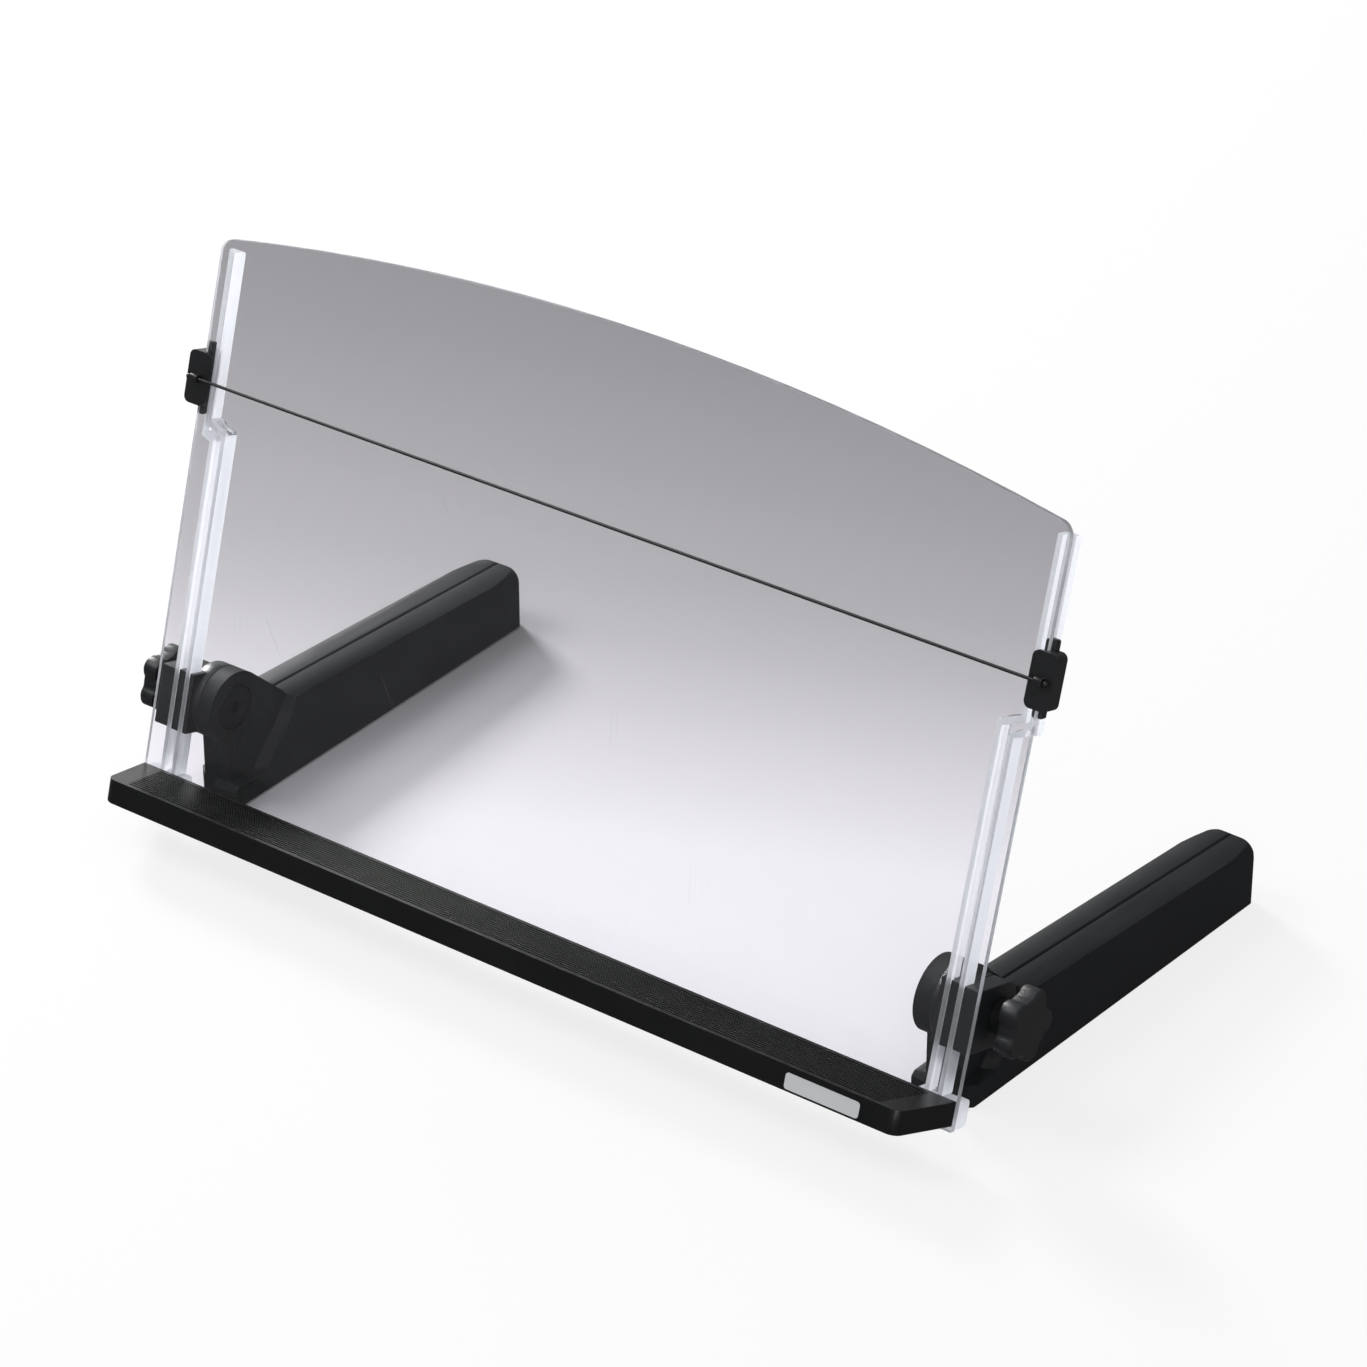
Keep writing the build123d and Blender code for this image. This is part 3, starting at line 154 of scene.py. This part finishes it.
def math_node(tree, operation, first, second=None):
    """One sum on sockets or floats. Only an addition is held between 0 and 1."""
    n = node(tree, "ShaderNodeMath", operation=operation, use_clamp=operation == "ADD")
    for place, value in enumerate((first, second)):
        if isinstance(value, float):
            n.inputs[place].default_value = value
        elif value is not None:
            tree.links.new(value, n.inputs[place])
    return n.outputs[0]


def mix_shaders(tree, share, first, second):
    """The first shader where the share is 0 and the second where it is 1."""
    mix = node(tree, "ShaderNodeMixShader")
    if isinstance(share, float):
        mix.inputs["Fac"].default_value = share
    else:
        tree.links.new(share, mix.inputs["Fac"])
    tree.links.new(first, mix.inputs[1])
    tree.links.new(second, mix.inputs[2])
    return mix.outputs[0]


# Opaque finishes
def solid(name, dark, light, rough, grain, grain_depth=0.00006, grain_strength=0.5,
          metallic=0.0, stretch=(1, 1, 1), specular=0.5):
    """Opaque finish: colour and gloss drift in patches, fine grain as relief, faint rubbed scratches."""
    m, tree = material(name)
    out = node(tree, "ShaderNodeOutputMaterial")
    bsdf = node(tree, "ShaderNodeBsdfPrincipled")
    bsdf.inputs["Metallic"].default_value = metallic
    bsdf.inputs["Specular IOR Level"].default_value = specular
    patches = noise(tree, PATCH_SCALE, PATCH_DETAIL)
    fine = noise(tree, grain, GRAIN_DETAIL, GRAIN_ROUGH, stretch)

    blend = node(tree, "ShaderNodeMath", operation="MULTIPLY_ADD")
    blend.inputs[1].default_value = GRAIN_COLOUR_SHARE
    tree.links.new(fine, blend.inputs[0])
    tree.links.new(spread(tree, patches, *PATCH_COLOUR_SPAN, 0, PATCH_COLOUR_SHARE), blend.inputs[2])
    tone = node(tree, "ShaderNodeMix", data_type="RGBA")
    tone.inputs[6].default_value = (*dark, 1)
    tone.inputs[7].default_value = (*light, 1)
    tree.links.new(blend.outputs[0], tone.inputs[0])
    tree.links.new(tone.outputs[2], bsdf.inputs["Base Color"])
    tree.links.new(spread(tree, patches, *PATCH_GLOSS_SPAN, *rough), bsdf.inputs["Roughness"])

    scuffs = noise(tree, SCUFF_SCALE, SCUFF_DETAIL, SCUFF_ROUGH, SCUFF_STRETCH)
    scuff_height = spread(tree, scuffs, *SCUFF_SPAN, 0, 1)
    normal = bump(tree, fine, grain_strength, grain_depth)
    normal = bump(tree, scuff_height, SCUFF_STRENGTH, SCUFF_DEPTH, normal)
    tree.links.new(normal, bsdf.inputs["Normal"])
    tree.links.new(bsdf.outputs[0], out.inputs["Surface"])
    return m


# Clear plastic
def cut_edges(tree):
    """1 on the faces that were cut across the sheet, 0 on its front and back."""
    facing = math_node(tree, "ABSOLUTE", where(tree, "Normal", INTO_DEPTH))
    return spread(tree, facing, *CUT_FACE_SPAN, 1, 0)


def milky_faces(tree):
    """1 on a rail's outer faces, its upper part and its bonded line, 0 inside the track's slot."""
    across = math_node(tree, "ABSOLUTE", where(tree, "Object", (1, 0, 0)))
    offset = math_node(tree, "ABSOLUTE", math_node(tree, "SUBTRACT", across, TRACK_X))
    outside = math_node(tree, "GREATER_THAN", offset, TRACK_HALF_W)
    depth = where(tree, "Object", INTO_DEPTH)
    bonded = math_node(tree, "LESS_THAN", depth, PANEL_BACK + BOND_DEPTH)
    return math_node(tree, "MAXIMUM", outside, bonded)


def scratched(tree, share, strength):
    """Add hairline scratches, in a few places only, to a share of milky veil."""
    for turn in SCRATCH_TURNS:
        lines = noise(tree, SCRATCH_SCALE, SCRATCH_DETAIL, SCRATCH_ROUGH, SCRATCH_STRETCH, turn)
        places = noise(tree, SCRATCHED_PLACE_SCALE, SCRATCHED_PLACE_DETAIL, SCRATCHED_PLACE_ROUGH,
                       turn=turn)
        mark = math_node(tree, "MULTIPLY", spread(tree, lines, *SCRATCH_SPAN, 0, strength),
                         spread(tree, places, *SCRATCHED_PLACE_SPAN, 0, 1))
        share = math_node(tree, "ADD", share, mark)
    return share


def milk(tree, colour):
    """The veil itself, lit from both of its sides."""
    lit = node(tree, "ShaderNodeBsdfDiffuse")
    lit.inputs["Color"].default_value = (*colour, 1)
    backlit = node(tree, "ShaderNodeBsdfTranslucent")
    backlit.inputs["Color"].default_value = (*colour, 1)
    return mix_shaders(tree, BACKLIT_SHARE, lit.outputs[0], backlit.outputs[0])


def clear(name, tint, rough, veil, veil_colour, veil_stretch, scratches, mask, masked_veil):
    """Clear plastic: see-through, with a faint milky veil, hairline scratches and a soft shadow.
    On the faces that the mask marks, the veil is the stronger one given last."""
    m, tree = material(name)
    out = node(tree, "ShaderNodeOutputMaterial")
    bsdf = node(tree, "ShaderNodeBsdfPrincipled")
    bsdf.inputs["Base Color"].default_value = (*tint, 1)
    bsdf.inputs["Transmission Weight"].default_value = 1.0
    bsdf.inputs["IOR"].default_value = ACRYLIC_IOR
    wear = noise(tree, WEAR_SCALE, WEAR_DETAIL)
    tree.links.new(spread(tree, wear, *WEAR_SPAN, *rough), bsdf.inputs["Roughness"])

    streaks = noise(tree, STREAK_SCALE, STREAK_DETAIL, STREAK_ROUGH, veil_stretch)
    faint = spread(tree, streaks, *STREAK_SPAN, *veil)
    strong = spread(tree, streaks, *STREAK_SPAN, *masked_veil)
    veil_share = math_node(tree, "MAXIMUM", faint, math_node(tree, "MULTIPLY", strong, mask(tree)))
    veil_share = scratched(tree, veil_share, scratches)
    seen = mix_shaders(tree, veil_share, bsdf.outputs[0], milk(tree, veil_colour))

    # Shadow and diffuse rays pass straight through, so the shadow stays soft and pale
    path = node(tree, "ShaderNodeLightPath")
    through = node(tree, "ShaderNodeBsdfTransparent")
    through.inputs["Color"].default_value = (*(SHADOW_LEAST + SHADOW_TINT_SHARE * c for c in tint), 1)
    plain_ray = math_node(tree, "ADD", path.outputs["Is Shadow Ray"], path.outputs["Is Diffuse Ray"])
    last = mix_shaders(tree, plain_ray, seen, through.outputs[0])
    tree.links.new(last, out.inputs["Surface"])
    return m


# Materials: colours are linear, and paired values run from a patch's one end to its other
PANEL = clear("panel acrylic", tint=(0.975, 0.975, 0.985), rough=(0.0, 0.012), veil=(0.0, 0.003),
              veil_colour=(0.8, 0.82, 0.86), veil_stretch=(1, 1, 1), scratches=0.05,
              mask=cut_edges, masked_veil=(0.4, 0.48))
RAIL = clear("rail acrylic", tint=(0.95, 0.965, 0.99), rough=(0.02, 0.06), veil=(0.05, 0.09),
             veil_colour=(0.95, 0.965, 1.0), veil_stretch=(1, 0.3, 0.3), scratches=0.04,
             mask=milky_faces, masked_veil=(0.74, 0.86))
LEDGE = solid("ledge plastic", dark=(0.004, 0.0042, 0.0046), light=(0.0075, 0.008, 0.009),
              rough=(0.26, 0.38), grain=1900.0, grain_depth=0.00004, grain_strength=0.4,
              specular=0.4)
ARM = solid("arm plastic", dark=(0.0098, 0.0106, 0.0118), light=(0.018, 0.0194, 0.0214),
            rough=(0.46, 0.6), grain=2800.0, grain_depth=0.00008, grain_strength=0.7,
            specular=0.2)
JOINT = solid("joint plastic", dark=(0.0095, 0.0102, 0.0115), light=(0.018, 0.0195, 0.0215),
              rough=(0.3, 0.42), grain=2600.0)
KNOB = solid("knob plastic", dark=(0.009, 0.0095, 0.0105), light=(0.016, 0.0172, 0.019),
             rough=(0.36, 0.5), grain=2600.0)
CLIP = solid("clip plastic", dark=(0.0085, 0.0088, 0.0095), light=(0.017, 0.0178, 0.0195),
             rough=(0.3, 0.42), grain=2100.0, grain_depth=0.00005)
ROD = solid("rod paint", dark=(0.006, 0.006, 0.0065), light=(0.011, 0.011, 0.012),
            rough=(0.25, 0.38), grain=2500.0, grain_depth=0.00001, grain_strength=0.3,
            stretch=(0.05, 1, 1))
STUD = solid("black oxide steel", dark=(0.012, 0.013, 0.015), light=(0.026, 0.028, 0.032),
             rough=(0.3, 0.42), grain=1800.0, grain_depth=0.00003, grain_strength=0.4,
             metallic=0.7)
STEEL = solid("zinc steel", dark=(0.5, 0.5, 0.52), light=(0.62, 0.62, 0.64),
              rough=(0.28, 0.42), grain=1500.0, grain_depth=0.00002, grain_strength=0.3,
              metallic=1.0, stretch=(1, 0.1, 1))
BRASS = solid("turned brass", dark=(0.6, 0.44, 0.2), light=(0.72, 0.55, 0.28),
              rough=(0.25, 0.38), grain=1500.0, grain_depth=0.00002, grain_strength=0.3,
              metallic=1.0, stretch=(0.1, 1, 1))
WASHER = solid("washer plastic", dark=(0.008, 0.008, 0.009), light=(0.015, 0.015, 0.016),
               rough=(0.45, 0.6), grain=1800.0)
LABEL = solid("blank label", dark=(0.585, 0.6, 0.61), light=(0.655, 0.67, 0.68),
              rough=(0.3, 0.4), grain=2200.0, grain_depth=0.00001, grain_strength=0.2)
RUBBER = solid("pad rubber", dark=(0.012, 0.012, 0.012), light=(0.02, 0.02, 0.02),
               rough=(0.7, 0.85), grain=1600.0, grain_depth=0.00008, grain_strength=0.8)

FINISH = {
    "document_panel": PANEL, "rail": RAIL, "ledge": LEDGE, "ledge_label": LABEL,
    "ledge_screws": STEEL, "guide_clip": CLIP, "guide_rod": ROD, "slider_body": JOINT,
    "pivot_stud": STUD, "friction_washer": WASHER, "clamp_jaw": JOINT, "thrust_washer": WASHER,
    "knob": KNOB, "knob_insert": BRASS, "arm_inner": ARM, "arm_outer": ARM,
    "arm_dowels": STEEL, "pad_front": RUBBER, "pad_rear": RUBBER,
}
# Width of each finished piece's softened edges, which stay inside the solid
SOFT_EDGE = {
    "document_panel": 0.0003, "rail": 0.0004, "ledge": 0.0003, "guide_clip": 0.0004,
    "slider_body": 0.0006, "clamp_jaw": 0.0007, "knob": 0.0005, "arm_inner": 0.0007,
    "arm_outer": 0.0007, "ledge_label": 0.00015, "thrust_washer": 0.0001,
    "friction_washer": 0.0001, "pad_front": 0.0002, "pad_rear": 0.0002, "pivot_stud": 0.0002,
}
SOFT_EDGE_SEGMENTS = 2
SHARP_ANGLE = math.radians(32)
WELD_GAP = 0.000002


def family(name):
    """A node's name without its side, where both sides have the same finish."""
    for ending in ("_left", "_right"):
        if name.endswith(ending) and name[: -len(ending)] in FINISH:
            return name[: -len(ending)]
    return name


def weld(obj):
    """Join the doubled points where a solid's faces meet."""
    joined = obj.modifiers.new("weld", "WELD")
    joined.merge_threshold = WELD_GAP


def dress(obj, kind):
    """Give a piece its finish and its softened edges."""
    obj.data.materials.clear()
    obj.data.materials.append(FINISH[kind])
    for polygon in obj.data.polygons:
        polygon.material_index = 0
    if kind in SOFT_EDGE:
        weld(obj)
        edge = obj.modifiers.new("edge", "BEVEL")
        edge.width = SOFT_EDGE[kind]
        edge.segments = SOFT_EDGE_SEGMENTS
        edge.limit_method = "ANGLE"
        edge.angle_limit = SHARP_ANGLE
        edge.use_clamp_overlap = True
        edge.harden_normals = True


for name, obj in NODES.items():
    dress(obj, family(name))


# Rear ends of the arms: each half is trimmed to a block with large rounded rear edges.
# The block fits the arm's rear end and widens toward the joint, so that it leaves the rest as it is.
# END_L is measured along the arm from its pivot.
ARM_SPLAY = math.radians(1.86)
SEAM_X = 0.2052
PIVOT_Y = -0.07402
END_L = 0.21335
END_HALF_W = 0.01325
END_HIGH = 0.03225
END_ROUND = 0.0085
END_ROUND_SEGMENTS = 7
CIRCULAR = 0.5
BLOCK_FRONT_L = -0.03
BLOCK_LOW = -0.005
SIDE_FLARE = 0.05
TOP_FLARE = 0.18
FACE_ROUND = ((0, 0), (1, 0), (1, 1), (0, 1))


def block_corners(shape, side):
    """The block's eight corners, by whether each is rear, on the side away from the middle, and high."""
    corners = {}
    reach = END_L - BLOCK_FRONT_L
    for rear, (along, grow) in enumerate(((BLOCK_FRONT_L, reach), (END_L, 0))):
        for outer, across in enumerate((-1, 1)):
            for high, z in enumerate((BLOCK_LOW, END_HIGH + TOP_FLARE * grow)):
                w = across * (END_HALF_W + SIDE_FLARE * grow)
                x = SEAM_X + along * math.sin(ARM_SPLAY) + w * math.cos(ARM_SPLAY)
                y = PIVOT_Y + along * math.cos(ARM_SPLAY) - w * math.sin(ARM_SPLAY)
                corners[(rear, outer, high)] = shape.verts.new((side * x, y, z))
    return corners


def arm_block(side):
    """Block around one arm, in place; side is 1 for the right arm and -1 for the left."""
    shape = bmesh.new()
    corners = block_corners(shape, side)
    for axis in range(3):
        for value in (0, 1):
            face = []
            for first, second in FACE_ROUND:
                key = [first, second]
                key.insert(axis, value)
                face.append(corners[tuple(key)])
            shape.faces.new(face)
    bmesh.ops.recalc_face_normals(shape, faces=shape.faces)
    # Every edge that meets an upper rear corner is rounded
    upper_rear = (corners[(1, 0, 1)], corners[(1, 1, 1)])
    rounded = [edge for edge in shape.edges if any(v in upper_rear for v in edge.verts)]
    bmesh.ops.bevel(shape, geom=rounded, offset=END_ROUND, segments=END_ROUND_SEGMENTS,
                    profile=CIRCULAR, affect="EDGES", clamp_overlap=True)
    mesh = bpy.data.meshes.new("arm block")
    shape.to_mesh(mesh)
    shape.free()
    block = bpy.data.objects.new("arm block", mesh)
    bpy.context.scene.collection.objects.link(block)
    return block


def trimmed(name, block):
    """A copy of one arm half whose rear end has the block's rounding."""
    piece = bpy.data.objects.new(name + "_rounded", NODES[name].data.copy())
    bpy.context.scene.collection.objects.link(piece)
    weld(piece)
    trim = piece.modifiers.new("trim", "BOOLEAN")
    trim.operation = "INTERSECT"
    trim.solver = "EXACT"
    trim.object = block
    bpy.context.view_layer.update()
    shaped = piece.evaluated_get(bpy.context.evaluated_depsgraph_get())
    mesh = bpy.data.meshes.new_from_object(shaped)
    piece.modifiers.clear()
    piece.data = mesh
    mesh.polygons.foreach_set("use_smooth", [True] * len(mesh.polygons))
    mesh.set_sharp_from_angle(angle=SHARP_ANGLE)
    return piece


for side, hand in ((1, "right"), (-1, "left")):
    block = arm_block(side)
    for half in ("arm_inner", "arm_outer"):
        solid_name = half + "_" + hand
        piece = trimmed(solid_name, block)
        dress(piece, half)
        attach(piece, "arm_" + hand)
        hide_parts(solid_name)
    bpy.data.objects.remove(block)


# Floor: white to the camera, through clear plastic a sweep with painted shade that darkens it to the
# rear, dim in mirrors
FLOOR_SIZE = 12
FLOOR_DROP = 0.0001
FLOOR_GREY = 0.86
FLOOR_WHITE_SHARE = 0.8
GLOSS_GREY = 0.13
GLOSS_TINT = (1, 1, 1.04)
SWEEP_AXIS = (-0.42, 1.0, 0)
SWEEP_SPAN = (-0.3, 0.65)
SWEEP_TINT = (1, 0.975, 1.02)
# Place along the sweep and its grey, which paints the shade that grows to the rear; the first and last
# are the ramp's own two ends
SWEEP_SHADE_GREYS = ((0.0, 0.99), (0.27, 0.99), (0.34, 0.96), (0.4, 0.82), (0.48, 0.65),
               (0.55, 0.52), (0.62, 0.44), (0.75, 0.36), (0.9, 0.29), (1.0, 0.26))


def tinted(grey, tint):
    return (*(grey * c for c in tint), 1)


def painted_shade_sweep(tree):
    """Matt floor whose grey follows the sweep, painted shade that darkens it toward the rear."""
    ramp = node(tree, "ShaderNodeValToRGB")
    tree.links.new(spread(tree, where(tree, "Object", SWEEP_AXIS), *SWEEP_SPAN, 0, 1), ramp.inputs["Fac"])
    for place, grey in SWEEP_SHADE_GREYS:
        if place == 0.0:
            stop = ramp.color_ramp.elements[0]
        elif place == 1.0:
            stop = ramp.color_ramp.elements[-1]
        else:
            stop = ramp.color_ramp.elements.new(place)
        stop.color = tinted(grey, SWEEP_TINT)
    sweep = node(tree, "ShaderNodeBsdfDiffuse")
    tree.links.new(ramp.outputs["Color"], sweep.inputs["Color"])
    return sweep.outputs[0]


def floor_material():
    m, tree = material("floor")
    out = node(tree, "ShaderNodeOutputMaterial")
    path = node(tree, "ShaderNodeLightPath")

    def for_ray(share, ray, first, second):
        """Mix two shaders by a share that counts only for one kind of ray."""
        part = math_node(tree, "MULTIPLY", path.outputs[ray], share)
        return mix_shaders(tree, part, first, second)

    plain = node(tree, "ShaderNodeBsdfDiffuse")
    plain.inputs["Color"].default_value = (FLOOR_GREY, FLOOR_GREY, FLOOR_GREY, 1)
    white = node(tree, "ShaderNodeEmission")
    white.inputs["Color"].default_value = (1, 1, 1, 1)
    dim = node(tree, "ShaderNodeEmission")
    dim.inputs["Color"].default_value = tinted(GLOSS_GREY, GLOSS_TINT)
    seen = for_ray(FLOOR_WHITE_SHARE, "Is Camera Ray", plain.outputs[0], white.outputs[0])
    # Through clear plastic the floor shows the sweep's painted shade
    seen = for_ray(1.0, "Is Transmission Ray", seen, painted_shade_sweep(tree))
    seen = for_ray(1.0, "Glossy Depth", seen, dim.outputs[0])
    tree.links.new(seen, out.inputs["Surface"])
    return m


bpy.ops.mesh.primitive_plane_add(size=FLOOR_SIZE, location=(0, 0, -FLOOR_DROP))
floor = bpy.context.object
floor.name = "floor"
floor.data.materials.append(floor_material())

# World: white where it shows, and a soft light that fades from overhead to the horizon
HORIZON_LIGHT = 0.1
OVERHEAD_LIGHT = 0.52
SKY_COLOUR = (0.97, 0.985, 1, 1)
BACKDROP_LIGHT = 1.0


def studio_world():
    world = bpy.data.worlds.new("studio")
    world.use_nodes = True
    sky = world.node_tree
    sky.nodes.clear()
    out = node(sky, "ShaderNodeOutputWorld")
    coord = node(sky, "ShaderNodeTexCoord")
    height = node(sky, "ShaderNodeSeparateXYZ")
    sky.links.new(coord.outputs["Generated"], height.inputs[0])
    fill = node(sky, "ShaderNodeBackground")
    fill.inputs["Color"].default_value = SKY_COLOUR
    light = spread(sky, height.outputs["Z"], 0, 1, HORIZON_LIGHT, OVERHEAD_LIGHT)
    sky.links.new(light, fill.inputs["Strength"])
    shown = node(sky, "ShaderNodeBackground")
    shown.inputs["Color"].default_value = (1, 1, 1, 1)
    shown.inputs["Strength"].default_value = BACKDROP_LIGHT
    path = node(sky, "ShaderNodeLightPath")
    seen = mix_shaders(sky, path.outputs["Is Camera Ray"], fill.outputs[0], shown.outputs[0])
    sky.links.new(seen, out.inputs["Surface"])
    return world


bpy.context.scene.world = studio_world()

# Each lamp's name, place, the point that it faces, its width and height, and its power in watts
LAMPS = (
    ("left", (-2.6, 1.15, 1.45), (0, 0, 0.05), (0.75, 0.75), 92),
    ("overhead", (-1.06, -0.68, 1.57), (0, 0, 0.08), (1.0, 1.0), 12.8),
    ("front", (1.2, -1.5, 0.9), (0, 0, 0.1), (1.0, 0.8), 7.5),
    ("rear left", (-2.6, 2.4, 0.35), (0, 0, 0.05), (1.5, 0.6), 5),
)


def lamp(name, place, aim, size, power):
    data = bpy.data.lights.new(name, "AREA")
    data.shape = "RECTANGLE"
    data.size, data.size_y = size
    data.energy = power
    obj = bpy.data.objects.new(name, data)
    bpy.context.scene.collection.objects.link(obj)
    obj.location = place
    obj.rotation_euler = (Vector(aim) - Vector(place)).to_track_quat("-Z", "Y").to_euler()


for values in LAMPS:
    lamp(*values)

# Camera at the photograph's angle; its sensor and lens are in millimetres
SENSOR_W = 36
LENS = 131.244
CAMERA_AZIMUTH = math.radians(37.528)
CAMERA_ELEVATION = math.radians(29.458)
CAMERA_PLACE = (1.181892, -1.531480, 1.189528)
FAR_LIMIT = 50


def photograph_camera():
    data = bpy.data.cameras.new("camera")
    data.sensor_width = SENSOR_W
    data.lens = LENS
    data.clip_end = FAR_LIMIT
    camera = bpy.data.objects.new("camera", data)
    bpy.context.scene.collection.objects.link(camera)
    level = math.cos(CAMERA_ELEVATION)
    back = Vector((math.sin(CAMERA_AZIMUTH) * level, -math.cos(CAMERA_AZIMUTH) * level,
                   math.sin(CAMERA_ELEVATION)))
    right = Vector((math.cos(CAMERA_AZIMUTH), math.sin(CAMERA_AZIMUTH), 0))
    up = back.cross(right)
    turn = Matrix((right, up, back)).transposed().to_4x4()
    camera.matrix_world = Matrix.Translation(CAMERA_PLACE) @ turn
    return camera


bpy.context.scene.camera = photograph_camera()
bpy.context.scene.view_settings.view_transform = "Standard"
